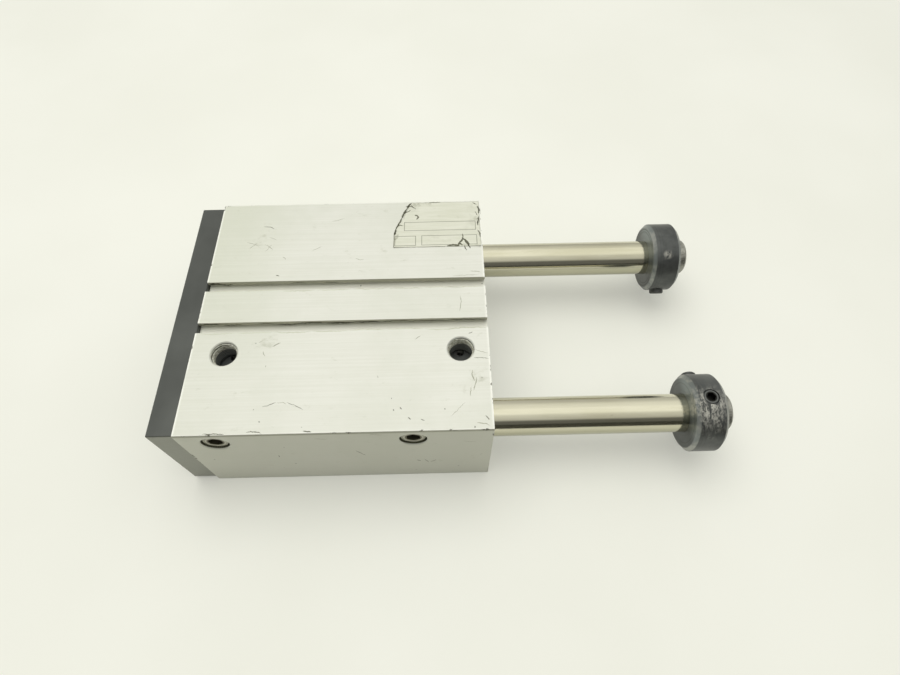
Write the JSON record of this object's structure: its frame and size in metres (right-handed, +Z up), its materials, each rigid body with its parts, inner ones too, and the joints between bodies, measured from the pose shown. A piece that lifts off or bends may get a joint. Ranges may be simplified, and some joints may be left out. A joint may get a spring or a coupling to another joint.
{
  "type": "guided pneumatic cylinder",
  "caption": "Compact guided pneumatic cylinder: rectangular body, piston and rod inside, tool plate on guide rods, stop collars at the rear.",
  "frame": {"origin": "centre of the body's underside, in the middle of the base mounting holes", "axes": "+X along the rods from the tool plate to the stop collars, +Z up from the base, +Y to the far side"},
  "size_m": [0.2852, 0.143, 0.064],
  "materials": {
    "anodised_body": "clear anodised, brushed along the extrusion, scratched",
    "turned_aluminium": "turned",
    "bronze": "turned bearing bronze",
    "black_rubber": "matt",
    "filled_ptfe": "matt brown",
    "magnet": "plastic-bonded magnet",
    "black_screws": "black oxide",
    "spring_steel": "phosphated spring steel",
    "chromed_rod": "hard chrome, ground",
    "black_plate": "dark oxide",
    "black_collar": "black oxide, scuffed",
    "plug_steel": "zinc plated, dull",
    "bright_steel": "bright"
  },
  "bodies": {
    "body": {"body_block": "anodised_body", "front_gland": "turned_aluminium", "gland_o_ring": "black_rubber", "gland_bush": "bronze", "rod_seal": "black_rubber", "front_retaining_ring": "spring_steel", "rear_cap": "turned_aluminium", "rear_cap_o_ring": "black_rubber", "rear_retaining_ring": "spring_steel", "side_port_plug_front": "plug_steel", "side_port_plug_rear": "plug_steel", "gallery_ball": "bright_steel", "guide_bush_front_near": "bronze", "guide_bush_front_far": "bronze", "guide_bush_rear_near": "bronze", "guide_bush_rear_far": "bronze", "guide_wiper_front_near": "black_rubber", "guide_wiper_front_far": "black_rubber", "guide_wiper_rear_near": "black_rubber", "guide_wiper_rear_far": "black_rubber", "guide_ring_front_near": "spring_steel", "guide_ring_front_far": "spring_steel", "guide_ring_rear_near": "spring_steel", "guide_ring_rear_far": "spring_steel"},
    "carriage": {"tool_plate": "black_plate", "guide_rod_near": "chromed_rod", "guide_rod_far": "chromed_rod", "piston_rod": "chromed_rod", "piston_front": "turned_aluminium", "piston_rear": "turned_aluminium", "wear_ring": "filled_ptfe", "piston_seal": "black_rubber", "magnet_ring": "magnet", "front_bumper": "black_rubber", "rear_bumper": "black_rubber", "piston_nut": "bright_steel", "guide_rod_screw_near": "black_screws", "guide_rod_screw_far": "black_screws", "piston_rod_screw": "black_screws", "stop_collar_near": "black_collar", "stop_collar_far": "black_collar", "collar_screw_near_up": "black_screws", "collar_screw_near_side": "black_screws", "collar_screw_far_side": "black_screws", "collar_screw_far_down": "black_screws"}
  },
  "joints": [
    {"name": "plate_slide", "type": "slide", "parent": "body", "child": "carriage", "axis": [-1, 0, 0], "range_m": [0, 0.1]}
  ]
}
